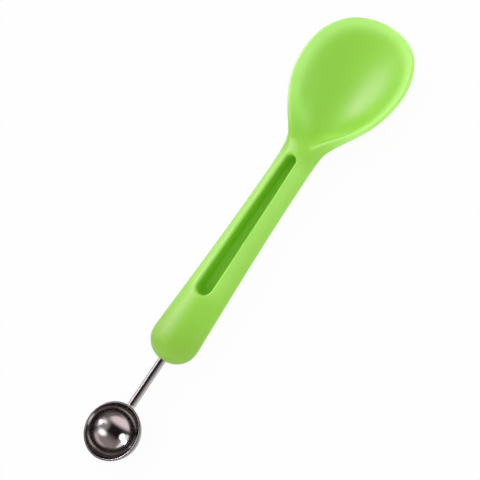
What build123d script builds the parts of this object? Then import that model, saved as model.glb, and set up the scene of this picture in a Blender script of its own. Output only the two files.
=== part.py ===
from build123d import *
import os
from math import asin, atan, cos, degrees, pi, sin, sqrt

# Melon baller: a pressed steel cup at one end, a moulded spoon and handle at the other.
# Millimetres, +Z up and out of both hollows, +X from the cup to the spoon's tip.
# The tool lies on the cup's vent edge and on the spoon's underside, both at height zero,
# and the origin is under the middle of its length.

# Cup
cup_diameter = 26.1
cup_depth = 11.8
cup_wall = 0.7
rim_break = 0.12
vent_diameter = 3.2

# Shank, its far end pressed flat inside the moulding
shank_diameter = 3.5
shank_reach = 23.8
shank_under_rim = 0.05
shank_hold = 26.0
press_length = 4.0
flat_length = 9.0
flat_width = 5.4
flat_thickness = 2.3

# Weld between shank and cup
weld_leg = 0.7
weld_foot = 0.9
weld_root = 2.0
weld_hollow = 0.12

# Handle
handle_length = 102.3
handle_width = 23.2
handle_height = 12.9
dome_length = 9.8
nose_round = 1.2
neck_width = 16.8
neck_height = 11.6

# Spoon
spoon_length = 67.8
spoon_width = 52.4
spoon_wall = 2.3
rim_rise = 3.75
tip_drop = 4.9

# Pocket in the handle's upper face, from a place behind the nose to just short of the neck
pocket_start = 31.8
pocket_neck_gap = 0.1
pocket_width_start = 7.5
pocket_width_end = 5.4
pocket_depth = 7.6
pocket_floor_radius = 1.6
pocket_lip_radius = 1.1
pocket_draft_share = 0.02

# Ovals: the radius of their sides as a share of their half height
oval_side_share = 0.7

# Dome: shares of a right angle where it is cut by ovals, from the flat nose on, and how
# much fuller its side view is than a round
dome_angle_shares = (0.13, 0.22, 0.36, 0.54, 0.76)
dome_fullness_share = 0.65

# Handle: ovals along the straight part, and how its taper fades to the neck
handle_oval_count = 12
taper_fade_share = 1.05

# Spoon from the neck to its broad part: place along the spoon, flare of the width, height of
# the edge line, fall of the crown to the floor, fall of the underside, edge radius
flare_shares = (
    (0.075, 0.045, 0.24, 0.060, 0.035, 0.86),
    (0.130, 0.146, 0.53, 0.240, 0.120, 0.68),
    (0.190, 0.309, 0.85, 0.475, 0.270, 0.46),
    (0.260, 0.506, 0.98, 0.700, 0.480, 0.26),
    (0.360, 0.745, 0.95, 0.890, 0.770, 0.10),
    (0.470, 0.915, 0.80, 0.980, 0.955, 0.02),
)

# Spoon from its broadest place to the tip: place along the spoon, width, height of the edge
# line above the tip, depth of the bowl below that line, edge radius
bowl_shares = (
    (0.615, 1.000, 0.769, 1.000, 1.00),
    (0.745, 0.962, 0.636, 0.870, 1.00),
    (0.845, 0.842, 0.462, 0.650, 1.00),
    (0.920, 0.676, 0.277, 0.405, 1.00),
    (0.965, 0.471, 0.139, 0.210, 0.95),
    (0.990, 0.270, 0.046, 0.085, 0.75),
    (1.000, 0.095, 0.000, 0.030, 0.42),
)

# Places along the tool
overall_length = cup_diameter + shank_reach + handle_length + spoon_length
cup_x = (cup_diameter - overall_length) / 2
nose_x = cup_x + cup_diameter / 2 + shank_reach
neck_x = nose_x + handle_length

# Heights: the vent's edge is the cup's lowest line
cup_radius = ((cup_diameter / 2) ** 2 + cup_depth ** 2) / (2 * cup_depth)
cup_centre_z = sqrt(cup_radius ** 2 - (vent_diameter / 2) ** 2)
rim_z = cup_centre_z - cup_radius + cup_depth
axis_z = rim_z - shank_under_rim - shank_diameter / 2
weld_x = cup_x + sqrt(cup_radius ** 2 - (cup_centre_z - axis_z) ** 2)

os.makedirs("parts", exist_ok=True)


def cross_plane(x):
    return Plane(origin=(x, 0, 0), x_dir=(0, 1, 0), z_dir=(1, 0, 0))


def touch_point(half_width, rise, radius):
    # Where the long arc, at its middle this rise above the edge line, meets the edge's round
    reach = half_width - radius
    spread = reach ** 2 + rise ** 2 - radius ** 2
    bend = 2 * (rise - radius)
    scale = 1 / (spread - radius * bend)
    return reach * spread * scale, radius * (spread - rise * bend) * scale


def oval(x, half_width, edge_z, top_z, bottom_z, radius):
    # Four tangent arcs: crown or hollow floor, one edge, underside, the other edge
    top_y, top_rise = touch_point(half_width, top_z - edge_z, radius)
    low_y, low_drop = touch_point(half_width, edge_z - bottom_z, radius)
    with BuildSketch(cross_plane(x)) as section:
        with BuildLine():
            ThreePointArc((-top_y, edge_z + top_rise), (0, top_z), (top_y, edge_z + top_rise))
            ThreePointArc((top_y, edge_z + top_rise), (half_width, edge_z), (low_y, edge_z - low_drop))
            ThreePointArc((low_y, edge_z - low_drop), (0, bottom_z), (-low_y, edge_z - low_drop))
            ThreePointArc((-low_y, edge_z - low_drop), (-half_width, edge_z), (-top_y, edge_z + top_rise))
        make_face()
    return section.sketch


def handle_oval(x, half_width, half_height):
    side_radius = oval_side_share * half_height
    return oval(x, half_width, axis_z, axis_z + half_height, axis_z - half_height, side_radius)


# Cup: a round-bottomed wall with a flat rim, turned about its own axis
rim_fall = cup_centre_z - rim_z
with BuildPart() as scoop_cup:
    with BuildSketch(Plane.XZ) as cup_wall_section:
        with BuildLine():
            outer_sweep = 90 - degrees(asin(rim_fall / cup_radius))
            inner_sweep = 90 - degrees(asin(rim_fall / (cup_radius - cup_wall)))
            outside = CenterArc((cup_x, cup_centre_z), cup_radius, -90, outer_sweep)
            inside = CenterArc((cup_x, cup_centre_z), cup_radius - cup_wall, -90, inner_sweep)
            Line(outside @ 0, inside @ 0)
            Line(outside @ 1, inside @ 1)
        make_face()
        fillet(cup_wall_section.vertices().group_by(Axis.Y)[-1], rim_break)
    revolve(axis=Axis((cup_x, 0, 0), (0, 0, 1)))
    with Locations((cup_x, 0, rim_z)):
        Hole(vent_diameter / 2)
scoop_cup.part.label = "scoop_cup"

# Shank: a round rod, hollowed at one end to the cup and pressed to a flat oval at the other
press_x = nose_x + shank_hold - flat_length - press_length
with BuildPart() as shank:
    with BuildSketch(cross_plane(weld_x - weld_root)):
        with Locations((0, axis_z)):
            Circle(shank_diameter / 2)
    extrude(amount=press_x - weld_x + weld_root)
    with BuildSketch(cross_plane(press_x)):
        with Locations((0, axis_z)):
            Circle(shank_diameter / 2)
    with BuildSketch(cross_plane(press_x + press_length)):
        with Locations((0, axis_z)):
            Ellipse(flat_width / 2, flat_thickness / 2)
    loft()
    with BuildSketch(cross_plane(press_x + press_length)):
        with Locations((0, axis_z)):
            Ellipse(flat_width / 2, flat_thickness / 2)
    extrude(amount=flat_length)
    with Locations((cup_x, 0, cup_centre_z)):
        Sphere(cup_radius, mode=Mode.SUBTRACT)
shank.part.label = "shank"

# Weld: a hollow-faced ring round the shank's end, dressed off level with the cup's rim
with BuildPart() as weld_bead:
    with BuildSketch(Plane.XZ):
        with BuildLine():
            foot = (weld_x + weld_foot, axis_z + shank_diameter / 2)
            brow = (weld_x, foot[1] + weld_leg)
            Polyline(foot, (weld_x - weld_root, foot[1]), (weld_x - weld_root, brow[1]), brow)
            SagittaArc(brow, foot, weld_hollow)
        make_face()
    revolve(axis=Axis((0, 0, axis_z), (1, 0, 0)))
    with Locations((cup_x, 0, cup_centre_z)):
        Sphere(cup_radius, mode=Mode.SUBTRACT)
    add(shank.part, mode=Mode.SUBTRACT)
    split(bisect_by=Plane.XY.offset(rim_z), keep=Keep.BOTTOM)
weld_bead.part.label = "weld_bead"

# Sections of the moulding: the dome, then the straight handle
sections = []
dome_radius = dome_length / cos(dome_angle_shares[0] * pi / 2)
for share in dome_angle_shares:
    swell = sin(share * pi / 2)
    x = nose_x + dome_length - dome_radius * cos(share * pi / 2)
    sections.append(handle_oval(x, handle_width / 2 * swell,
                                handle_height / 2 * swell ** dome_fullness_share))
for step in range(handle_oval_count):
    place = step / (handle_oval_count - 1)
    left = 1 - sin(place * pi / 2) ** taper_fade_share
    half_width = (neck_width + (handle_width - neck_width) * left) / 2
    half_height = (neck_height + (handle_height - neck_height) * left) / 2
    x = nose_x + dome_length + place * (handle_length - dome_length)
    sections.append(handle_oval(x, half_width, half_height))

# Sections of the moulding: the neck opens into the bowl
rim_radius = spoon_wall / 2
neck_radius = oval_side_share * neck_height / 2
neck_top_z = axis_z + neck_height / 2
neck_bottom_z = axis_z - neck_height / 2
for place, flare, rise, sink, sag, thick in flare_shares:
    half_width = (neck_width + (spoon_width - neck_width) * flare) / 2
    top_z = neck_top_z + (spoon_wall - neck_top_z) * sink
    radius = rim_radius + (neck_radius - rim_radius) * thick
    sections.append(oval(neck_x + place * spoon_length, half_width, axis_z + rise * rim_rise,
                         top_z, neck_bottom_z * (1 - sag), radius))

# Sections of the moulding: the bowl, which rests on its broadest place, and the tip
tip_z = axis_z - tip_drop
edge_range = rim_rise + tip_drop
bowl_depth = tip_z + edge_range * bowl_shares[0][2] - rim_radius
for place, width, rise, depth, thick in bowl_shares:
    edge_z = tip_z + edge_range * rise
    middle_z = edge_z - bowl_depth * depth
    radius = rim_radius * thick
    sections.append(oval(neck_x + place * spoon_length, spoon_width / 2 * width, edge_z,
                         middle_z + radius, middle_z - radius, radius))

# Moulding: one skin over all sections, then the pocket and the room that the shank fills
pocket_plane = Plane.XY.offset(axis_z + handle_height / 2)
pocket_floor_z = neck_top_z - pocket_depth
with BuildPart() as spoon_handle:
    loft(sections)
    fillet(spoon_handle.faces().sort_by(Axis.X)[0].edges(), nose_round)
    with BuildSketch(pocket_plane):
        with Locations((nose_x + pocket_start + pocket_width_start / 2, 0)):
            Circle(pocket_width_start / 2)
        with Locations((neck_x - pocket_neck_gap - pocket_width_end / 2, 0)):
            Circle(pocket_width_end / 2)
        make_hull()
    extrude(amount=pocket_floor_z - pocket_plane.origin.Z, taper=degrees(atan(pocket_draft_share)),
            mode=Mode.SUBTRACT)
    pocket_edges = spoon_handle.edges(Select.LAST)
    lip_edges = pocket_edges.filter_by(lambda edge: edge.bounding_box().min.Z > axis_z)
    fillet(spoon_handle.faces().filter_by(Axis.Z).sort_by(Axis.Z)[0].edges(), pocket_floor_radius)
    fillet(lip_edges, pocket_lip_radius)
    add(shank.part, mode=Mode.SUBTRACT)
spoon_handle.part.label = "spoon_handle"

for piece in (scoop_cup, shank, weld_bead, spoon_handle):
    export_step(piece.part, f"parts/{piece.part.label}.step")
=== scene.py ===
from math import atan, atan2, cos, exp, pi, sin, sqrt

import bmesh
import bpy
from bpy.props import FloatProperty, FloatVectorProperty, IntProperty, PointerProperty
from bpy.types import Operator, Panel, PropertyGroup
from mathutils import Matrix, Vector
from mathutils.geometry import intersect_point_line


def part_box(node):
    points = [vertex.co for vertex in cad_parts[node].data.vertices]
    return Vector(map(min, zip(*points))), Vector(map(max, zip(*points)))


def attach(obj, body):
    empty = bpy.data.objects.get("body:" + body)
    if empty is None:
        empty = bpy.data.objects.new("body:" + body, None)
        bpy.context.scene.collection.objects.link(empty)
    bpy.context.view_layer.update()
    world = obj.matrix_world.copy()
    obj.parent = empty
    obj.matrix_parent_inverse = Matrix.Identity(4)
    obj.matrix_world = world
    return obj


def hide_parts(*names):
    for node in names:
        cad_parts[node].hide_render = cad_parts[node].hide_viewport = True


bl_info = {
    "name": "Melon Baller",
    "version": (1, 0, 0),
    "blender": (4, 5, 0),
    "location": "3D View > Sidebar > Melon Baller",
    "description": "Models a melon baller with a steel cup and a moulded green spoon handle",
    "category": "Add Mesh",
}

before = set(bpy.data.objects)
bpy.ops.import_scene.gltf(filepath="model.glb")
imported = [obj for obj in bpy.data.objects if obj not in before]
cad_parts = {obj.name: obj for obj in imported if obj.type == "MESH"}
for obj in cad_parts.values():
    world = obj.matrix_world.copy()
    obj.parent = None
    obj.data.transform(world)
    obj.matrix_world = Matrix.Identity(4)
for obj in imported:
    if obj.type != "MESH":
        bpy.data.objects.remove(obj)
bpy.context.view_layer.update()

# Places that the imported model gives: +X runs from the cup to the spoon's tip, +Z is up
cup_low, cup_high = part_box("scoop_cup")
rod_low, rod_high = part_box("shank")
moulding_low, moulding_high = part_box("spoon_handle")
cup_x = (cup_low.x + cup_high.x) / 2
rim_z = cup_high.z
axis_z = (rod_low.z + rod_high.z) / 2
nose_x = moulding_low.x
tip_x = moulding_high.x

# Ovals of the moulding: the radius of their sides as a share of their half height
OVAL_SIDE_SHARE = 0.7

# Dome: shares of a right angle where ovals cut it, and how much fuller its side view is than a
# round; and how the handle's taper fades to the neck
DOME_ANGLE_SHARES = (0.13, 0.22, 0.36, 0.54, 0.76)
DOME_FULLNESS_SHARE = 0.65
TAPER_FADE_SHARE = 1.05

# Spoon from the neck to its broad part: place along the spoon, flare of the width, height of
# the edge line, fall of the crown to the floor, fall of the underside, edge radius
FLARE_SHARES = (
    (0.075, 0.045, 0.24, 0.060, 0.035, 0.86),
    (0.130, 0.146, 0.53, 0.240, 0.120, 0.68),
    (0.190, 0.309, 0.85, 0.475, 0.270, 0.46),
    (0.260, 0.506, 0.98, 0.700, 0.480, 0.26),
    (0.360, 0.745, 0.95, 0.890, 0.770, 0.10),
    (0.470, 0.915, 0.80, 0.980, 0.955, 0.02),
)

# Spoon from its broadest place to the tip: place along the spoon, width, height of the edge
# line above the tip, depth of the bowl below that line, edge radius
BOWL_SHARES = (
    (0.615, 1.000, 0.769, 1.000, 1.00),
    (0.745, 0.962, 0.636, 0.870, 1.00),
    (0.845, 0.842, 0.462, 0.650, 1.00),
    (0.920, 0.676, 0.277, 0.405, 1.00),
    (0.965, 0.471, 0.139, 0.210, 0.95),
    (0.990, 0.270, 0.046, 0.085, 0.75),
    (1.000, 0.095, 0.000, 0.030, 0.42),
)

MM = 0.001

# Steps round an oval: over the crown and along the underside, and round each side; the crown's
# middle; and half the turn of an arc that is as good as flat
CROWN_STEPS = 12
SIDE_STEPS = 8
MIDDLE_COLUMN = CROWN_STEPS // 2
LEAST_TURN = 1e-9

# Steps from the dome to the pocket and along the pocket, and how often the mesh between is halved
PLAIN_STEPS = 3
POCKET_STEPS = 5
ROUNDING_LEVELS = 2

# Nose: how far its flat face draws in, then depth and gap of the loops that lead in to the shank
NOSE_DRAW = 0.08
NOSE_LOOPS = ((0, 0.12 * MM), (0.05 * MM, 0.04 * MM), (0.3 * MM, 0.02 * MM), (1.5 * MM, 0.02 * MM))

# Pocket: columns each side of the middle, rows that bend round each end, where its first row lies
# in the round end, and loops over its lip, across which the pocket's painted shade comes in
POCKET_REACH = 4
POCKET_END_ROWS = 2
POCKET_ROW_SHARE = 0.7
POCKET_LIP_LOOPS = 5

# Loops that hold the form of the lip and of the floor's edge, as shares of their radius, and how
# much of the walls' slope the upper one has taken up
LIP_HOLD_SHARE = 1.5
CORNER_HOLD_SHARE = 1.4
FLOOR_INSET_SHARE = 1.15
UPPER_SLOPE_SHARE = 0.1

# Painted light and shade in the moulding's colour: painted shade on the dome, and a painted glow
# that stands in for light through the spoon's thin rim and for light falling on the crown beside
# the pocket. Its shares along the whole handle, beside the pocket and at the spoon's rim, how far
# it reaches from the pocket and from the rim, and where it fades in past the neck and past the
# pocket's ends
PAINTED_LIGHT_SHARES = (0.5, 0.24, 0.5)
POCKET_PAINTED_GLOW = 5.0 * MM
RIM_PAINTED_GLOW = 3.4 * MM
RIM_FADE = (6 * MM, 24 * MM)
POCKET_FADE = (-4 * MM, 6 * MM)

# Cup: steps along its wall and round its edges, and the vent's broken edge as a share of the rim's
WALL_STEPS = 44
EDGE_STEPS = 4
VENT_BREAK_SHARE = 0.5

# Rod: steps round it and along its pressed part, and where it has a first loop in the moulding
ROD_STEPS = 64
PRESS_STEPS = 6
ROD_LOOP_SHARE = 0.25

# Weld: steps along it, and how deep its mesh runs on inside its neighbours
WELD_STEPS = 8
WELD_HIDDEN = 0.15 * MM

# Vertices closer than this are one
MERGE_DISTANCE = 0.0005 * MM

# Plastic: how far flow marks change its colour and rubbed patches, grain and the pocket its
# roughness, and the depth of the grain
FLOW_TONE = 0.2
RUBBED_GLOSS = 0.10
GRAIN_GLOSS = 0.08
POCKET_DULLNESS = 0.3
GRAIN_DEPTH = 0.012 * MM

# Steels: shades as shares of the polished steel's colour, where the cup's outside shade is a
# painted shade that dims what the outside mirrors, depths in the cup's wall between which its
# outside begins, the share of the light that a steel mirrors at a glance, how far marks, smears and
# ripples change its roughness, how deep they are, how many rings a metre run round the cup, and
# from which level and how strongly the weld's tint shows
CUP_SHADES = (1.0, 0.9)
CUP_OUTSIDE_PAINTED_SHADE = 0.47
CUP_OUTSIDE_DEPTHS = (0.6, 0.3)
CUP_GLANCE = 0.7
CUP_MARK_GLOSS = 0.05
CUP_SMEAR_GLOSS = 0.05
CUP_MARK_DEPTH = 0.0002 * MM
CUP_RING_COUNT = 9000
ROD_SHADES = (0.74, 0.64)
ROD_GLANCE = 0.6
ROD_DULLNESS = 0.03
ROD_LINE_GLOSS = 0.07
ROD_SMEAR_GLOSS = 0.04
ROD_LINE_DEPTH = 0.0012 * MM
WELD_ROUGHNESS = 0.22
WELD_RIPPLE_GLOSS = 0.15
WELD_RIPPLE_DEPTH = 0.02 * MM
WELD_TINT = (0.3, 0.7)

# Floor: tones of its grain, and how much of it shows as plain white
FLOOR_TONES = ((0.84, 0.84, 0.84), (0.82, 0.82, 0.82))
FLOOR_WHITE_SHARE = 0.95

# Light tent as mirrors see it: its dark top; walls that each have an axis, the places along it
# where they start and where they are full, a colour, and whether they keep to the tent's middle;
# and the places along the tool between which that middle comes and goes
TENT_TOP = (0.008, 0.002, 0.003)
TENT_WALLS = (
    (0, 0.10, 0.75, (0.30, 0.25, 0.25), False),
    (0, -0.36, -0.66, (0.98, 0.85, 0.87), False),
    (1, -0.50, -0.80, (0.33, 0.30, 0.30), False),
    (1, 0.22, 0.36, (0.22, 0.21, 0.21), True),
    (1, 0.48, 0.66, (1.1, 1.1, 1.1), True),
)
TENT_MIDDLE = ((-0.36, -0.2), (0.8, 0.5))

# Windows of the tent: direction, reach, slimness along the tool, colour; and the shares of the
# reach where a window's light ends and where it is full
WINDOWS = (
    ((0.12, 0.77, 0.62), 0.24, 11, (20, 16.5, 23)),
    ((0.43, -0.72, 0.54), 0.30, 3, (2.0, 2.0, 2.0)),
    ((-0.23, -0.91, 0.34), 0.22, 3, (1.4, 1.4, 1.4)),
)
WINDOW_FADE = (1.6, 0.2)

# Key light: direction from the middle of the tool, distance and size, in metres
KEY_TOWARDS = (0.05, 0.80, 0.60)
KEY_DISTANCE = 0.8
KEY_SIZE = (0.5, 0.4)
SENSOR_WIDTH_MM = 36


def length(name, description, default_mm):
    return FloatProperty(name=name, description=description, default=default_mm * MM, min=0,
                         unit="LENGTH", precision=5)


def share(name, description, default):
    return FloatProperty(name=name, description=description, default=default, min=0, max=1,
                         subtype="FACTOR")


def colour(name, description, default):
    return FloatVectorProperty(name=name, description=description, default=default, size=3,
                               min=0, max=1, subtype="COLOR")


class CupSettings(PropertyGroup):
    """Sizes of the steel cup"""
    diameter: length("Diameter", "Outside diameter at the rim", 26.1)
    depth: length("Depth", "Outside depth from the rim to the pole", 11.8)
    wall: length("Wall", "Thickness of the sheet", 0.7)
    rim_break: length("Rim Break", "Radius of the rim's broken edges", 0.12)
    vent: length("Vent", "Diameter of the vent hole at the pole", 3.2)
    turns: IntProperty(name="Turns", description="Steps of the wall round its axis", default=160,
                       min=24)


class RodSettings(PropertyGroup):
    """Sizes of the steel shank and of the weld that holds it"""
    diameter: length("Diameter", "Diameter of the shank", 3.5)
    hold: length("Hold", "Length of the shank inside the moulding", 26.0)
    press_length: length("Press Length", "Length over which the shank is pressed flat", 4.0)
    flat_length: length("Flat Length", "Length of the shank's flat end", 9.0)
    flat_width: length("Flat Width", "Width of the shank's flat end", 5.4)
    flat_thickness: length("Flat Thickness", "Thickness of the shank's flat end", 2.3)
    weld_leg: length("Weld Leg", "Height of the weld on the cup", 0.7)
    weld_foot: length("Weld Foot", "Length of the weld on the shank", 0.9)


class HandleSettings(PropertyGroup):
    """Sizes of the moulded handle"""
    length: length("Length", "Length from the nose to the neck", 102.3)
    width: length("Width", "Greatest width", 23.2)
    height: length("Height", "Greatest height", 12.9)
    dome: length("Dome", "Length of the domed nose", 9.8)
    neck_width: length("Neck Width", "Width at the neck", 16.8)
    neck_height: length("Neck Height", "Height at the neck", 11.6)


class SpoonSettings(PropertyGroup):
    """Sizes of the moulded spoon"""
    width: length("Width", "Greatest width", 52.4)
    wall: length("Wall", "Thickness of the bowl", 2.3)
    rim_rise: length("Rim Rise", "Rise of the rim above the shank's axis", 3.75)
    tip_drop: length("Tip Drop", "Drop of the tip below the shank's axis", 4.9)


class PocketSettings(PropertyGroup):
    """Sizes of the pocket in the handle"""
    start: length("Start", "Distance from the nose to the pocket", 31.8)
    neck_gap: length("Neck Gap", "Distance from the pocket to the neck", 0.1)
    width_start: length("Start Width", "Width near the nose", 7.5)
    width_end: length("End Width", "Width near the neck", 5.4)
    depth: length("Depth", "Depth below the crown at the neck", 7.6)
    floor_radius: length("Floor Radius", "Radius between the walls and the floor", 1.6)
    lip_radius: length("Lip Radius", "Radius of the rounded lip", 1.1)
    draft: share("Draft", "Slope of the walls", 0.02)


class FinishSettings(PropertyGroup):
    """Colours and gloss of the two materials"""
    plastic: colour("Plastic", "Colour of the moulding", (0.305, 0.745, 0.030))
    # Painted shade: a darker green that stands in for the shade on the dome and the nose end of the
    # handle
    plastic_painted_dome_shade: colour("Dome Painted Shade", "Colour of the dome, where the moulding is thick",
                          (0.256, 0.60, 0.017))
    # Painted shade: a darker, deeper green that stands in for the shade inside the pocket
    plastic_painted_pocket_shade: colour("Pocket Painted Shade", "Colour in the pocket", (0.235, 0.66, 0.003))
    # Painted light: a paler, yellower green that stands in for light through the spoon's thin rim
    # and for light falling on the crown beside the pocket
    plastic_painted_glow: colour("Painted Glow", "Colour where the moulding is thin and lets light through",
                         (0.50, 1.0, 0.19))
    plastic_roughness: share("Plastic Roughness", "Roughness of the moulding", 0.43)
    steel: colour("Steel", "Colour of the polished steel", (0.70, 0.67, 0.66))
    steel_roughness: share("Steel Roughness", "Roughness of the polished steel", 0.11)
    tint: colour("Weld Tint", "Straw colour that the weld's heat leaves", (0.55, 0.42, 0.30))


class StageSettings(PropertyGroup):
    """Floor, lights and camera"""
    floor_size: length("Floor", "Side of the floor", 12000)
    key: FloatProperty(name="Key Light", description="Power of the soft light from the side",
                       default=0.6, unit="POWER")
    fill: FloatProperty(name="Fill", description="Strength of the even light from all round",
                        default=0.97)
    camera_distance: length("Camera Distance", "Distance from the camera to the object", 3000)
    view_width: length("View Width", "Width that the picture spans at the object", 202.3)
    aim_height: length("Aim Height", "Height of the picture's middle above the floor", 12.12)
    elevation: FloatProperty(name="Elevation", description="Angle of the view above the floor",
                             default=62.5 * pi / 180, subtype="ANGLE")
    roll: FloatProperty(name="Roll", description="Turn of the object in the picture",
                        default=56.0 * pi / 180, subtype="ANGLE")


class BallerSettings(PropertyGroup):
    """All settings of the melon baller"""
    cup: PointerProperty(type=CupSettings)
    rod: PointerProperty(type=RodSettings)
    handle: PointerProperty(type=HandleSettings)
    spoon: PointerProperty(type=SpoonSettings)
    pocket: PointerProperty(type=PocketSettings)
    finish: PointerProperty(type=FinishSettings)
    stage: PointerProperty(type=StageSettings)


def spread(start, end, steps):
    """Even steps from the start to the end, with both ends."""
    return [start + (end - start) * step / steps for step in range(steps + 1)]


def start_loop(name, points):
    """Adds a primitive circle, lays its vertices on these points and opens it for editing."""
    bpy.ops.object.select_all(action="DESELECT")
    bpy.ops.mesh.primitive_circle_add(vertices=len(points), fill_type="NOTHING", location=(0, 0, 0))
    piece = bpy.context.object
    piece.name = piece.data.name = name
    for layer in ("ring", "column"):
        piece.data.attributes.new(layer, "INT", "POINT")
    # The pocket mark sets the pocket's painted shade and its dullness
    piece.data.attributes.new("pocket", "FLOAT", "POINT")
    piece.data.attributes["column"].data.foreach_set("value", range(len(points)))
    bpy.ops.object.mode_set(mode="EDIT")
    lay_ring(0, points)
    return piece


def lay_selected(place, ring=None, pocket=0.0):
    """Lays each selected vertex where its ring and column say, and marks its pocket depth, which
    sets the pocket's painted shade and its dullness.
    """
    mesh = bpy.context.edit_object.data
    shape = bmesh.from_edit_mesh(mesh)
    rings, columns = shape.verts.layers.int["ring"], shape.verts.layers.int["column"]
    depths = shape.verts.layers.float["pocket"]
    for vertex in shape.verts:
        if vertex.select:
            vertex[depths] = pocket
            if ring is not None:
                vertex[rings] = ring
            vertex.co = place(vertex[rings], vertex[columns])
    bmesh.update_edit_mesh(mesh)


def lay_ring(ring, points):
    lay_selected(lambda _, column: points[column], ring)


def extrude_ring(ring, points):
    """Extrudes the selected loop and lays the new one on these points."""
    bpy.ops.mesh.extrude_region()
    lay_ring(ring, points)


def select_where(wanted, mode):
    """Selects the vertices or faces of the mesh under edit for which wanted is true."""
    bpy.ops.mesh.select_mode(type=mode)
    bpy.ops.mesh.select_all(action="DESELECT")
    mesh = bpy.context.edit_object.data
    shape = bmesh.from_edit_mesh(mesh)
    rings, columns = shape.verts.layers.int["ring"], shape.verts.layers.int["column"]
    for item in shape.faces if mode == "FACE" else shape.verts:
        vertices = item.verts if mode == "FACE" else [item]
        if all(wanted(vertex[rings], vertex[columns]) for vertex in vertices):
            item.select_set(True)
    shape.select_flush_mode()
    bmesh.update_edit_mesh(mesh)


def close_piece(piece, sharp_angle=None):
    """Points the faces outwards, leaves edit mode and shades the piece smooth."""
    bpy.ops.mesh.select_all(action="SELECT")
    bpy.ops.mesh.remove_doubles(threshold=MERGE_DISTANCE)
    bpy.ops.mesh.normals_make_consistent(inside=False)
    bpy.ops.object.mode_set(mode="OBJECT")
    for layer in ("ring", "column"):
        piece.data.attributes.remove(piece.data.attributes[layer])
    if sharp_angle is None:
        bpy.ops.object.shade_smooth()
    else:
        bpy.ops.object.shade_smooth_by_angle(angle=sharp_angle)


def round_piece(piece):
    """Rounds the mesh between its loops."""
    rounding = piece.modifiers.new("rounding", "SUBSURF")
    rounding.levels = rounding.render_levels = ROUNDING_LEVELS
    bpy.ops.object.modifier_apply(modifier=rounding.name)


def dress_piece(piece, node, material):
    """Gives the piece its material and its body, and hides the part of the model that it stands
    for.
    """
    piece.data.materials.clear()
    piece.data.materials.append(material)
    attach(piece, "root")
    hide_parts(node)


def touch_point(half_width, rise, radius):
    """Where the long arc, at its middle this rise above the edge line, meets the edge's round."""
    reach = half_width - radius
    span = reach ** 2 + rise ** 2 - radius ** 2
    bend = 2 * (rise - radius)
    scale = 1 / (span - radius * bend)
    return reach * span * scale, radius * (span - rise * bend) * scale


def long_arc(x, half_chord, end_z, middle_z, steps):
    """Points from -Y to +Y on the arc that has these ends and this middle."""
    half_turn = 2 * atan((middle_z - end_z) / half_chord) or LEAST_TURN
    across = half_chord / sin(half_turn)
    turns = [half_turn * (2 * step / steps - 1) for step in range(steps + 1)]
    return [Vector((x, across * sin(turn), end_z + across * (cos(turn) - cos(half_turn))))
            for turn in turns]


def oval_points(section):
    """Vertices round an oval of four tangent arcs: over the crown, and back along the underside."""
    x, half_width, edge_z, top_z, bottom_z, radius = section
    top_y, top_rise = touch_point(half_width, top_z - edge_z, radius)
    low_y, low_drop = touch_point(half_width, edge_z - bottom_z, radius)
    crown = long_arc(x, top_y, edge_z + top_rise, top_z, CROWN_STEPS)
    underside = long_arc(x, low_y, edge_z - low_drop, bottom_z, CROWN_STEPS)
    centre_y = half_width - radius
    start, end = atan2(top_rise, top_y - centre_y), atan2(-low_drop, low_y - centre_y)
    side = [Vector((x, centre_y + radius * cos(turn), edge_z + radius * sin(turn)))
            for turn in spread(start, end, SIDE_STEPS)[1:-1]]
    other_side = [Vector((x, -point.y, point.z)) for point in reversed(side)]
    return crown + side + underside[::-1] + other_side


def insert_between(stations):
    """Adds a station halfway between each two, on a smooth line through them all."""
    line = [2 * stations[0] - stations[1], *stations, 2 * stations[-1] - stations[-2]]
    finer = [stations[0]]
    for a, b, c, d in zip(line, line[1:], line[2:], line[3:]):
        finer += [(9 * (b + c) - a - d) / 16, c]
    return finer


def handle_section(settings, x, swell=1, fullness=1):
    """The handle's oval at this place: half width, edge line, crown, underside and side radius."""
    handle = settings.handle
    straight = handle.length - handle.dome
    place = min(max((x - nose_x - handle.dome) / straight, 0), 1)
    left = 1 - sin(place * pi / 2) ** TAPER_FADE_SHARE
    half_width = swell * (handle.neck_width + (handle.width - handle.neck_width) * left) / 2
    half_height = fullness * (handle.neck_height + (handle.height - handle.neck_height) * left) / 2
    return Vector((x, half_width, axis_z, axis_z + half_height, axis_z - half_height,
                   OVAL_SIDE_SHARE * half_height))


def neck_place(settings):
    return nose_x + settings.handle.length


def slot_ends(settings):
    """Places of the centres of the pocket's round ends."""
    pocket = settings.pocket
    return (nose_x + pocket.start + pocket.width_start / 2,
            neck_place(settings) - pocket.neck_gap - pocket.width_end / 2)


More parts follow.
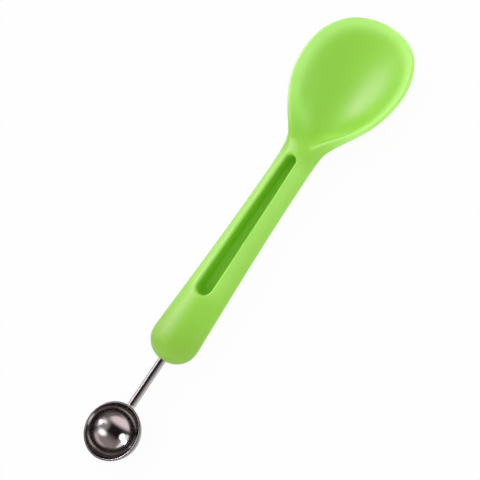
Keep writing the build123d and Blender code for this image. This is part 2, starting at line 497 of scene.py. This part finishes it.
def moulding_sections(settings):
    """Ovals from the nose to the spoon's tip, and the first and last that the pocket reaches."""
    handle, spoon, pocket = settings.handle, settings.spoon, settings.pocket
    neck_x = neck_place(settings)
    spoon_length = tip_x - neck_x
    sections = []
    dome_radius = handle.dome / cos(DOME_ANGLE_SHARES[0] * pi / 2)
    for angle_share in DOME_ANGLE_SHARES:
        swell = sin(angle_share * pi / 2)
        x = nose_x + handle.dome - dome_radius * cos(angle_share * pi / 2)
        sections.append(handle_section(settings, x, swell, swell ** DOME_FULLNESS_SHARE))

    slot_start, slot_end = slot_ends(settings)
    dome_end = nose_x + handle.dome
    pocket_row = nose_x + pocket.start - POCKET_ROW_SHARE * pocket.width_start / 2
    plain = spread(dome_end, pocket_row, PLAIN_STEPS)
    slot = spread(slot_start, slot_end, POCKET_STEPS)
    first = 2 * (len(sections) + PLAIN_STEPS)
    sections += [handle_section(settings, x) for x in plain + slot]
    last = 2 * len(sections)

    rim_radius = spoon.wall / 2
    neck_radius = OVAL_SIDE_SHARE * handle.neck_height / 2
    neck_top_z = axis_z + handle.neck_height / 2
    neck_bottom_z = axis_z - handle.neck_height / 2
    for place, flare, rise, sink, sag, thick in FLARE_SHARES:
        half_width = (handle.neck_width + (spoon.width - handle.neck_width) * flare) / 2
        top_z = neck_top_z + (spoon.wall - neck_top_z) * sink
        radius = rim_radius + (neck_radius - rim_radius) * thick
        sections.append(Vector((neck_x + place * spoon_length, half_width,
                                axis_z + rise * spoon.rim_rise, top_z, neck_bottom_z * (1 - sag),
                                radius)))

    tip_z = axis_z - spoon.tip_drop
    edge_range = spoon.rim_rise + spoon.tip_drop
    bowl_depth = tip_z + edge_range * BOWL_SHARES[0][2] - rim_radius
    for place, width, rise, depth, thick in BOWL_SHARES:
        edge_z = tip_z + edge_range * rise
        middle_z = edge_z - bowl_depth * depth
        radius = rim_radius * thick
        sections.append(Vector((neck_x + place * spoon_length, spoon.width / 2 * width, edge_z,
                                middle_z + radius, middle_z - radius, radius)))
    return insert_between(sections), first, last


def crown_height(sections, x, y):
    """Height of the moulding's upper face at this place."""
    for low, high in zip(sections, sections[1:]):
        if low[0] <= x <= high[0]:
            break
    _, half_width, edge_z, top_z, _, radius = low.lerp(high, (x - low[0]) / (high[0] - low[0]))
    top_y, top_rise = touch_point(half_width, top_z - edge_z, radius)
    rise = top_z - edge_z - top_rise
    crown_radius = (top_y ** 2 + rise ** 2) / (2 * rise)
    return top_z - crown_radius + sqrt(crown_radius ** 2 - y ** 2)


def pocket_place(settings, first, last, ring, column, offset):
    """Place of a vertex of the pocket's rows when its outline is moved out by this offset."""
    pocket = settings.pocket
    slot_start, slot_end = slot_ends(settings)
    side = column - MIDDLE_COLUMN
    along = min(max((ring - first - POCKET_END_ROWS) / (last - first - 2 * POCKET_END_ROWS), 0), 1)
    radius = offset + (pocket.width_start + (pocket.width_end - pocket.width_start) * along) / 2
    steps = max(first + POCKET_END_ROWS - ring, ring - last + POCKET_END_ROWS, 0)
    y_share = side / POCKET_REACH
    if ring in (first, last):
        steps += POCKET_REACH - abs(side)
        y_share = (side > 0) - (side < 0)
    turn = steps * pi / 2 / (POCKET_END_ROWS + POCKET_REACH)
    outward = -1 if ring < (first + last) / 2 else 1
    x = slot_start + (slot_end - slot_start) * along + outward * radius * sin(turn)
    return x, y_share * radius * cos(turn)


def pocket_loops(settings):
    """Outlines from the crown to the pocket's floor: offset, and drop below the crown or height."""
    pocket = settings.pocket
    quarter = (0, pi / 6, pi / 3, pi / 2)
    lip, corner = pocket.lip_radius, pocket.floor_radius
    mouth_z = axis_z + settings.handle.height / 2
    floor_z = axis_z + settings.handle.neck_height / 2 - pocket.depth
    slope = pocket.draft * (mouth_z - floor_z)
    loops = [(lip * LIP_HOLD_SHARE, 0, None)]
    loops += [(lip * (1 - sin(turn)), lip * (1 - cos(turn)), None) for turn in quarter]
    loops += [(-slope * UPPER_SLOPE_SHARE, lip * LIP_HOLD_SHARE, None),
              (-slope, None, floor_z + corner * CORNER_HOLD_SHARE)]
    loops += [(-slope - corner * (1 - cos(turn)), None, floor_z + corner * (1 - sin(turn)))
              for turn in quarter]
    return loops + [(-slope - corner * FLOOR_INSET_SHARE, None, floor_z)]


def cut_pocket(settings, sections, first, last):
    """Takes the faces over the pocket down into it, over a round lip and to a round-edged floor."""
    low, high = MIDDLE_COLUMN - POCKET_REACH, MIDDLE_COLUMN + POCKET_REACH
    select_where(lambda ring, column: first <= ring <= last and low <= column <= high, "FACE")

    loops = pocket_loops(settings)
    for number, (offset, drop, height) in enumerate(loops):
        def place(ring, column):
            x, y = pocket_place(settings, first, last, ring, column, offset)
            return x, y, crown_height(sections, x, y) - drop if height is None else height
        bpy.ops.mesh.extrude_region()
        # The pocket mark rises over the lip to one on the walls and floor, for the pocket's painted
        # shade and its dullness
        lay_selected(place, pocket=min(number / POCKET_LIP_LOOPS, 1) ** 2)


def axis_circle(x, radius, turns):
    """A circle round the shank's axis, with a vertex at each of these turns."""
    return [Vector((x, radius * sin(turn), axis_z + radius * cos(turn))) for turn in turns]


def rod_circle(x, radius):
    return axis_circle(x, radius, spread(0, 2 * pi, ROD_STEPS)[:-1])


def eased(value, start, end):
    """Nought at the start, one at the end and a smooth rise between."""
    part = min(max((value - start) / (end - start), 0), 1)
    return part * part * (3 - 2 * part)


def mark_painted_light(piece, settings, sections):
    """Marks at each vertex the painted light and shade of the moulding's colour: painted shade on
    the dome, and a painted glow at the spoon's rim and beside the pocket.
    """
    pocket = settings.pocket
    neck_x = neck_place(settings)
    pocket_x = nose_x + pocket.start
    rim = [Vector((x, half_width - radius, edge_z))
           for x, half_width, edge_z, _, _, radius in sections if x > neck_x]
    thin = []
    for vertex in piece.data.vertices:
        place = Vector((vertex.co.x, abs(vertex.co.y), vertex.co.z))
        nearest = min((place - intersect_point_line(place, low, high)[0]).length
                      for low, high in zip(rim, rim[1:]))
        from_rim = max(nearest - settings.spoon.wall / 2, 0) / RIM_PAINTED_GLOW
        from_pocket = max(place.y - pocket.width_start / 2, 0) / POCKET_PAINTED_GLOW
        # Painted light from the nose to the pocket, beside the pocket, and at the spoon's rim
        amounts = (
            eased(place.x, nose_x, pocket_x),
            eased(place.x, *(pocket_x + distance for distance in POCKET_FADE))
            * eased(place.x, *(neck_x - distance for distance in POCKET_FADE))
            * exp(-from_pocket ** 2),
            eased(place.x, *(neck_x + distance for distance in RIM_FADE)) * exp(-from_rim ** 2),
        )
        thin.append(sum(amount * part for amount, part in zip(amounts, PAINTED_LIGHT_SHARES)))
    # The thin attribute carries this painted light and shade: low on the dome for painted shade,
    # high at the rim and beside the pocket for a painted glow
    piece.data.attributes.new("thin", "FLOAT", "POINT").data.foreach_set("value", thin)


class BALLER_OT_spoon_handle(Operator):
    """Model the moulding, which is handle and spoon in one piece"""
    bl_idname = "baller.spoon_handle"
    bl_label = "Spoon Handle"

    def execute(self, context):
        settings = context.scene.baller
        rod_radius = settings.rod.diameter / 2
        sections, first, last = moulding_sections(settings)
        rings = [oval_points(section) for section in sections]
        piece = start_loop("spoon_handle_skin", rings[0])
        for ring, points in enumerate(rings[1:], 1):
            extrude_ring(ring, points)
        bpy.ops.mesh.edge_face_add()

        select_where(lambda ring, column: ring == 0, "VERT")
        face = [point.lerp(Vector((nose_x, 0, axis_z)), NOSE_DRAW) for point in rings[0]]
        extrude_ring(-1, face)
        turns = [atan2(point.y, point.z - axis_z) for point in face]
        for ring, (depth, gap) in enumerate(NOSE_LOOPS, 2):
            extrude_ring(-ring, axis_circle(nose_x + depth, rod_radius + gap, turns))
        bpy.ops.mesh.edge_face_add()

        cut_pocket(settings, sections, first, last)
        close_piece(piece)
        round_piece(piece)
        mark_painted_light(piece, settings, sections)
        dress_piece(piece, "spoon_handle", green_plastic(settings.finish))
        return {"FINISHED"}


def cup_sphere(cup):
    """Outer radius of the cup's wall and the height of its centre."""
    radius = ((cup.diameter / 2) ** 2 + cup.depth ** 2) / (2 * cup.depth)
    return radius, rim_z - cup.depth + radius


def cup_profile(cup):
    """Points round the cup's wall: from the vent up its outside, over the rim and down inside."""
    outer, centre_z = cup_sphere(cup)
    inner = outer - cup.wall
    broken = cup.rim_break
    quarter = spread(0, pi / 2, EDGE_STEPS)
    fall = centre_z - rim_z + broken

    def wall(radius, start_radius, end_turn):
        start_turn = atan2(start_radius, sqrt(radius ** 2 - start_radius ** 2))
        return [(radius * sin(turn), centre_z - radius * cos(turn))
                for turn in spread(start_turn, end_turn, WALL_STEPS)]

    def rim_round(radius, side):
        middle = radius - side * broken
        end_turn = atan2(sqrt(middle ** 2 - fall ** 2), fall)
        centre = middle * sin(end_turn)
        points = [(centre + broken * cos(turn), centre_z - fall + broken * sin(turn))
                  for turn in spread(end_turn - side * pi / 2, pi / 2, EDGE_STEPS)]
        return end_turn, points

    vent_break = broken * VENT_BREAK_SHARE
    vent = cup.vent / 2
    outer_turn, outer_round = rim_round(outer, 1)
    inner_turn, inner_round = rim_round(inner, -1)
    outside = wall(outer, vent + vent_break, outer_turn)
    inside = wall(inner, vent + vent_break, inner_turn)
    low_z = outside[0][1]
    high_z = inside[0][1]
    upper_edge = [(vent + vent_break * (1 - sin(turn)), high_z - vent_break * (1 - cos(turn)))
                  for turn in quarter[1:]]
    lower_edge = [(vent + vent_break * (1 - cos(turn)), low_z + vent_break * (1 - sin(turn)))
                  for turn in quarter[:-1]]
    rim = outer_round + inner_round[::-1]
    return outside[:-1] + rim + inside[::-1][1:] + upper_edge + lower_edge


class BALLER_OT_cup(Operator):
    """Model the steel cup with its broken rim and its vent hole"""
    bl_idname = "baller.cup"
    bl_label = "Cup"

    def execute(self, context):
        settings = context.scene.baller
        cup = settings.cup
        profile = [Vector((cup_x + radius, 0, height)) for radius, height in cup_profile(cup)]
        piece = start_loop("cup", profile)
        bpy.ops.mesh.spin(steps=cup.turns, angle=2 * pi, center=(cup_x, 0, 0), axis=(0, 0, 1))
        close_piece(piece)
        dress_piece(piece, "scoop_cup", turned_steel(settings.finish, cup))
        return {"FINISHED"}


class BALLER_OT_shank(Operator):
    """Model the steel shank from the cup's wall to its flat end inside the moulding"""
    bl_idname = "baller.shank"
    bl_label = "Shank"

    def execute(self, context):
        settings = context.scene.baller
        rod = settings.rod
        outer, centre_z = cup_sphere(settings.cup)
        root = rod_circle(0, rod.diameter / 2)
        for point in root:
            point.x = cup_x + sqrt(outer ** 2 - point.y ** 2 - (point.z - centre_z) ** 2)
        piece = start_loop("rod", root)
        bpy.ops.mesh.edge_face_add()
        select_where(lambda ring, column: True, "VERT")
        flat_x = nose_x + rod.hold - rod.flat_length
        stations = [(nose_x + rod.hold * ROD_LOOP_SHARE, 0), (flat_x - rod.press_length, 0)]
        stations += [(flat_x - rod.press_length * (1 - part), part)
                     for part in spread(0, 1, PRESS_STEPS)[1:]]
        stations += [(nose_x + rod.hold, 1)]
        for ring, (x, pressed) in enumerate(stations, 1):
            pressed = eased(pressed, 0, 1)
            wide = (rod.diameter + (rod.flat_width - rod.diameter) * pressed) / 2
            thick = (rod.diameter + (rod.flat_thickness - rod.diameter) * pressed) / 2
            extrude_ring(ring, [Vector((x, point.y * wide, axis_z + (point.z - axis_z) * thick))
                                for point in rod_circle(x, 1)])
            if ring == 1:
                select_where(lambda ring, column: ring == 1, "VERT")
        close_piece(piece, sharp_angle=pi / 4)
        dress_piece(piece, "shank", drawn_steel(settings.finish))
        return {"FINISHED"}


class BALLER_OT_weld(Operator):
    """Model the hollow-faced weld between the shank and the cup"""
    bl_idname = "baller.weld"
    bl_label = "Weld"

    def execute(self, context):
        settings = context.scene.baller
        rod = settings.rod
        outer, centre_z = cup_sphere(settings.cup)
        rod_radius = rod.diameter / 2
        inside = rod_radius - WELD_HIDDEN
        foot_x = cup_x + sqrt(outer ** 2 - (centre_z - axis_z) ** 2) + rod.weld_foot

        def loop(radius, along):
            points = rod_circle(0, radius)
            for point in points:
                reach = sqrt(outer ** 2 - point.y ** 2 - (point.z - centre_z) ** 2)
                on_cup = cup_x + reach - WELD_HIDDEN / 2
                point.x = on_cup + (foot_x - on_cup) * along
                point.z = min(point.z, rim_z)
            return points

        piece = start_loop("weld", loop(inside, 0))
        for ring, along in enumerate(spread(0, 1, WELD_STEPS), 1):
            extrude_ring(ring, loop(rod_radius + rod.weld_leg * (1 - along) ** 2, along))
        extrude_ring(WELD_STEPS + 2, loop(inside, 1))
        extrude_ring(WELD_STEPS + 3, loop(inside, 0))
        close_piece(piece, sharp_angle=pi / 3)
        dress_piece(piece, "weld_bead", welded_steel(settings.finish))
        return {"FINISHED"}


class Number:
    """The number or colour that a shader node gives, written in sums as any number is."""

    def __init__(self, sheet, socket):
        self.sheet, self.socket = sheet, socket

    def math(self, operation, first, second=0.0, clamp=False):
        return self.sheet.add("ShaderNodeMath", {"operation": operation, "use_clamp": clamp},
                              {0: first, 1: second})

    def __add__(self, other):
        return self.math("ADD", self, other)

    def __sub__(self, other):
        return self.math("SUBTRACT", self, other)

    def __rsub__(self, other):
        return self.math("SUBTRACT", other, self)

    def __mul__(self, other):
        return self.math("MULTIPLY", self, other)

    __radd__, __rmul__ = __add__, __mul__

    def root(self):
        return self.math("SQRT", self)

    def held(self):
        return self.math("ADD", self, 0.0, clamp=True)


class NodeSheet:
    """The nodes of one material or world."""

    def __init__(self, owner):
        owner.use_nodes = True
        self.tree = owner.node_tree
        self.tree.nodes.clear()

    def add(self, kind, settings=None, values=None, output=0):
        """Adds a node, makes its settings, then sets or links its sockets, and gives one output."""
        node = self.tree.nodes.new(kind)
        for name, value in (settings or {}).items():
            setattr(node, name, value)
        for name, value in (values or {}).items():
            if isinstance(value, Number):
                self.tree.links.new(value.socket, node.inputs[name])
            else:
                node.inputs[name].default_value = value
        return Number(self, node.outputs[output]) if node.outputs else None

    def place(self):
        """Object coordinates"""
        return self.add("ShaderNodeTexCoord", output="Object")

    def parts(self, vector):
        """The three numbers of a vector"""
        return [self.add("ShaderNodeSeparateXYZ", values={0: vector}, output=axis)
                for axis in range(3)]

    def mapped(self, vector, location=(0, 0, 0), scale=(1, 1, 1)):
        return self.add("ShaderNodeMapping", values={"Vector": vector, "Location": location,
                                                     "Scale": scale})

    def noise(self, vector, scale, detail=2.0, roughness=0.5):
        return self.add("ShaderNodeTexNoise", values={"Vector": vector, "Scale": scale,
                                                      "Detail": detail, "Roughness": roughness})

    def between(self, low, high, factor):
        """A colour between these two"""
        values = {name: (*value, 1) if isinstance(value, tuple) else value
                  for name, value in ((0, factor), (6, low), (7, high))}
        return self.add("ShaderNodeMix", {"data_type": "RGBA"}, values, output=2)

    def ease(self, value, start, end):
        """Nought at the start, one at the end and a smooth rise between"""
        return self.add("ShaderNodeMapRange", {"interpolation_type": "SMOOTHSTEP"},
                        {"Value": value, "From Min": start, "From Max": end})

    def bump(self, height, distance, strength=1.0):
        return self.add("ShaderNodeBump", values={"Height": height, "Distance": distance,
                                                  "Strength": strength})

    def surface(self, values):
        shader = self.add("ShaderNodeBsdfPrincipled", values=values)
        self.add("ShaderNodeOutputMaterial", values={"Surface": shader})


def green_plastic(finish):
    """Satin plastic: slow flow marks in the colour, a fine grain, faint rubbed patches, painted
    shade on the dome and in the pocket, and a painted glow at the rim and beside the pocket.
    """
    material = bpy.data.materials.new("green_satin_plastic")
    sheet = NodeSheet(material)
    place = sheet.place()
    flow = sheet.noise(sheet.mapped(place, scale=(18, 60, 60)), scale=1.0, detail=3.0)
    rubbed = sheet.noise(place, scale=70.0, detail=4.0, roughness=0.6)
    grain = sheet.noise(place, scale=2600.0)
    # The pocket mark carries the pocket's painted shade and its dullness; the thin mark carries the
    # moulding's painted light and shade
    pocket_shade_and_dullness, thin = (sheet.add("ShaderNodeAttribute", {"attribute_name": name}, output="Fac")
                       for name in ("pocket", "thin"))
    # Painted shade on the dome and a painted glow at the rim and beside the pocket, mixed with real
    # flow marks
    flow_and_painted_light = thin * 2 + (flow - 0.5) * FLOW_TONE
    shade = sheet.between(tuple(finish.plastic_painted_dome_shade), tuple(finish.plastic), flow_and_painted_light.held())
    shade = sheet.between(shade, tuple(finish.plastic_painted_glow), (flow_and_painted_light - 1).held())
    # Painted shade in the pocket, from the pocket mark
    shade = sheet.between(shade, tuple(finish.plastic_painted_pocket_shade), pocket_shade_and_dullness)
    rough = (finish.plastic_roughness + (rubbed - 0.5) * RUBBED_GLOSS + (grain - 0.5) * GRAIN_GLOSS
             + pocket_shade_and_dullness * POCKET_DULLNESS)
    sheet.surface({
        "Base Color": shade,
        "Roughness": rough,
        "Normal": sheet.bump(grain, GRAIN_DEPTH, strength=0.6),
        "Subsurface Weight": 0.25,
        "Subsurface Radius": (0.45, 1.0, 0.12),
        "Subsurface Scale": 2.5 * MM,
        "IOR": 1.49,
        "Specular IOR Level": 1.0,
        "Specular Tint": (1.0, 0.30, 1.0, 1.0),
    })
    return material


def dimmed(shade, part):
    return tuple(part * value for value in shade)


def steel_surface(sheet, shade, rough, marks, distance, glance=1.0):
    """Steel with marks of this depth, which mirrors this share of the light at a glance."""
    sheet.surface({
        "Base Color": shade,
        "Specular Tint": (glance, glance, glance, 1.0),
        "Metallic": 1.0,
        "Roughness": rough,
        "Normal": sheet.bump(marks, distance, strength=0.5),
    })


def turned_steel(finish, cup):
    """Polished sheet with fine marks round the cup's axis, and a painted shade on the cup's outside
    that dims what it mirrors.
    """
    material = bpy.data.materials.new("polished_cup_steel")
    sheet = NodeSheet(material)
    centred = sheet.mapped(sheet.place(), location=(-cup_x, 0, 0))
    x, y, z = sheet.parts(centred)
    away = (x * x + y * y).root()
    rings = sheet.add("ShaderNodeCombineXYZ", values={0: away * CUP_RING_COUNT,
                                                      1: z * CUP_RING_COUNT, 2: 0.0})
    marks = sheet.noise(rings, scale=1.0, detail=3.0, roughness=0.7)
    smears = sheet.noise(centred, scale=160.0, detail=4.0)
    shade = sheet.between(*(dimmed(finish.steel, part) for part in CUP_SHADES), smears)
    radius, centre_z = cup_sphere(cup)
    height = z - centre_z
    outward = (x * x + y * y + height * height).root()
    # Painted shade: the cup's outside is darker than its inside, which dims what the outside
    # mirrors
    outside = sheet.ease(outward, *(radius - depth * cup.wall for depth in CUP_OUTSIDE_DEPTHS))
    shade = sheet.between(shade, dimmed(finish.steel, CUP_OUTSIDE_PAINTED_SHADE), outside)
    rough = finish.steel_roughness + marks * CUP_MARK_GLOSS + (smears - 0.5) * CUP_SMEAR_GLOSS
    steel_surface(sheet, shade, rough, marks, CUP_MARK_DEPTH, CUP_GLANCE)
    return material


def drawn_steel(finish):
    """Bright rod with fine lines along its length."""
    material = bpy.data.materials.new("drawn_rod_steel")
    sheet = NodeSheet(material)
    place = sheet.place()
    lines = sheet.noise(sheet.mapped(place, scale=(60, 5200, 5200)), scale=1.0, detail=3.0,
                        roughness=0.65)
    smears = sheet.noise(place, scale=190.0, detail=3.0)
    shade = sheet.between(*(dimmed(finish.steel, part) for part in ROD_SHADES), smears)
    rough = (finish.steel_roughness + ROD_DULLNESS + lines * ROD_LINE_GLOSS
             + (smears - 0.5) * ROD_SMEAR_GLOSS)
    steel_surface(sheet, shade, rough, lines, ROD_LINE_DEPTH, ROD_GLANCE)
    return material


def welded_steel(finish):
    """Weld metal: rippled, a little dull, with a straw tint."""
    material = bpy.data.materials.new("weld_steel")
    sheet = NodeSheet(material)
    place = sheet.place()
    ripple = sheet.noise(place, scale=1500.0, detail=3.0)
    heat = sheet.noise(place, scale=700.0)
    tinted = (heat - WELD_TINT[0]).held() * WELD_TINT[1]
    shade = sheet.between(tuple(finish.steel), tuple(finish.tint), tinted)
    rough = WELD_ROUGHNESS + ripple * WELD_RIPPLE_GLOSS
    steel_surface(sheet, shade, rough, ripple, WELD_RIPPLE_DEPTH)
    return material


def seen_directly(sheet):
    """One for rays from the camera, from mirrors and through glass, and nought for other light."""
    path = [sheet.add("ShaderNodeLightPath", output=name)
            for name in ("Is Camera Ray", "Is Glossy Ray", "Is Transmission Ray")]
    return (path[0] + path[1] + path[2]).held()


def pale_floor():
    """White floor that shows near white and keeps a faint shadow."""
    material = bpy.data.materials.new("pale_floor")
    sheet = NodeSheet(material)
    grain = sheet.noise(sheet.place(), scale=30.0)
    lit = sheet.add("ShaderNodeBsdfDiffuse", values={"Color": sheet.between(*FLOOR_TONES, grain)})
    white = sheet.add("ShaderNodeEmission", values={"Color": (1, 1, 1, 1), "Strength": 1.0})
    amount = seen_directly(sheet) * FLOOR_WHITE_SHARE
    mixed = sheet.add("ShaderNodeMixShader", values={0: amount, 1: lit, 2: white})
    sheet.add("ShaderNodeOutputMaterial", values={"Surface": mixed})
    return material


def studio_world(fill):
    """A light tent: even light all round. Mirrors see its dark top, its walls and its windows."""
    world = bpy.data.worlds.new("studio")
    sheet = NodeSheet(world)
    way = sheet.add("ShaderNodeTexCoord", output="Generated")
    axes = sheet.parts(way)
    in_middle = sheet.ease(axes[0], *TENT_MIDDLE[0]) * sheet.ease(axes[0], *TENT_MIDDLE[1])
    mirrored = TENT_TOP
    for axis, start, full, bright, keeps_to_middle in TENT_WALLS:
        amount = sheet.ease(axes[axis], start, full)
        amount = amount * in_middle if keeps_to_middle else amount
        mirrored = sheet.between(mirrored, bright, amount)
    for towards, reach, slim, bright in WINDOWS:
        x, y, z = (axis - middle for axis, middle in zip(axes, towards))
        away = (x * x * slim + y * y + z * z).root()
        amount = sheet.ease(away, *(reach * part for part in WINDOW_FADE))
        mirrored = sheet.between(mirrored, bright, amount)
    camera = sheet.add("ShaderNodeLightPath", output="Is Camera Ray")
    glossy = sheet.add("ShaderNodeLightPath", output="Is Glossy Ray")
    seen = sheet.between((fill, fill, fill), mirrored, glossy)
    seen = sheet.between(seen, (1.0, 1.0, 1.0), camera)
    light = sheet.add("ShaderNodeBackground", values={"Color": seen, "Strength": 1.0})
    sheet.add("ShaderNodeOutputWorld", values={"Surface": light})
    return world


def add_key_light(power, target):
    """The soft light from the side, which faces the target and shows in no mirror."""
    place = target + Vector(KEY_TOWARDS).normalized() * KEY_DISTANCE
    bpy.ops.object.light_add(type="AREA", location=place,
                             rotation=(place - target).to_track_quat("Z", "Y").to_euler())
    lamp = bpy.context.object
    lamp.name = lamp.data.name = "key_light"
    lamp.data.shape = "RECTANGLE"
    lamp.data.size, lamp.data.size_y = KEY_SIZE
    lamp.data.energy = power
    lamp.visible_glossy = False


class BALLER_OT_stage(Operator):
    """Set the floor, the lights and the camera"""
    bl_idname = "baller.stage"
    bl_label = "Stage"

    def execute(self, context):
        stage = context.scene.baller.stage
        bpy.ops.object.select_all(action="DESELECT")
        bpy.ops.mesh.primitive_plane_add(size=stage.floor_size, location=(0, 0, 0))
        floor = context.object
        floor.name = "studio_floor"
        floor.data.materials.append(pale_floor())

        add_key_light(stage.key, Vector((0, 0, axis_z)))

        back = Vector((0, -cos(stage.elevation), sin(stage.elevation)))
        upward = Vector((0, sin(stage.elevation), cos(stage.elevation)))
        forward_x = Vector((1, 0, 0))
        right = cos(stage.roll) * forward_x - sin(stage.roll) * upward
        up = sin(stage.roll) * forward_x + cos(stage.roll) * upward
        aim = Vector((0, 0, stage.aim_height))
        turn = Matrix((right, up, back)).transposed().to_euler()
        bpy.ops.object.camera_add(location=aim + back * stage.camera_distance, rotation=turn)
        camera = context.object
        camera.data.sensor_width = SENSOR_WIDTH_MM
        camera.data.lens = SENSOR_WIDTH_MM * stage.camera_distance / stage.view_width
        camera.data.clip_end = 2 * stage.floor_size
        context.scene.camera = camera
        context.scene.world = studio_world(stage.fill)
        context.scene.view_settings.view_transform = "Standard"
        return {"FINISHED"}


class BALLER_PT_sidebar(Panel):
    """Lists the melon baller's settings and the steps that build it"""
    bl_idname = "BALLER_PT_sidebar"
    bl_label = "Melon Baller"
    bl_space_type = "VIEW_3D"
    bl_region_type = "UI"
    bl_category = "Melon Baller"

    def draw(self, context):
        settings = context.scene.baller
        for groups, operators in STEPS:
            box = self.layout.box()
            for group in groups:
                values = getattr(settings, group)
                for name in values.bl_rna.properties.keys():
                    if name not in ("rna_type", "name"):
                        box.prop(values, name)
            for operator in operators:
                box.operator(operator.bl_idname)


STEPS = (
    (("finish",), ()),
    (("handle", "spoon", "pocket"), (BALLER_OT_spoon_handle,)),
    (("cup",), (BALLER_OT_cup,)),
    (("rod",), (BALLER_OT_shank, BALLER_OT_weld)),
    (("stage",), (BALLER_OT_stage,)),
)
CLASSES = (CupSettings, RodSettings, HandleSettings, SpoonSettings, PocketSettings, FinishSettings,
           StageSettings, BallerSettings, BALLER_OT_spoon_handle, BALLER_OT_cup, BALLER_OT_shank,
           BALLER_OT_weld, BALLER_OT_stage, BALLER_PT_sidebar)


def register():
    for item in CLASSES:
        bpy.utils.register_class(item)
    bpy.types.Scene.baller = PointerProperty(type=BallerSettings)


def unregister():
    del bpy.types.Scene.baller
    for item in reversed(CLASSES):
        bpy.utils.unregister_class(item)


def main():
    register()
    bpy.ops.baller.spoon_handle()
    bpy.ops.baller.cup()
    bpy.ops.baller.shank()
    bpy.ops.baller.weld()
    bpy.ops.baller.stage()


if __name__ == "__main__":
    main()
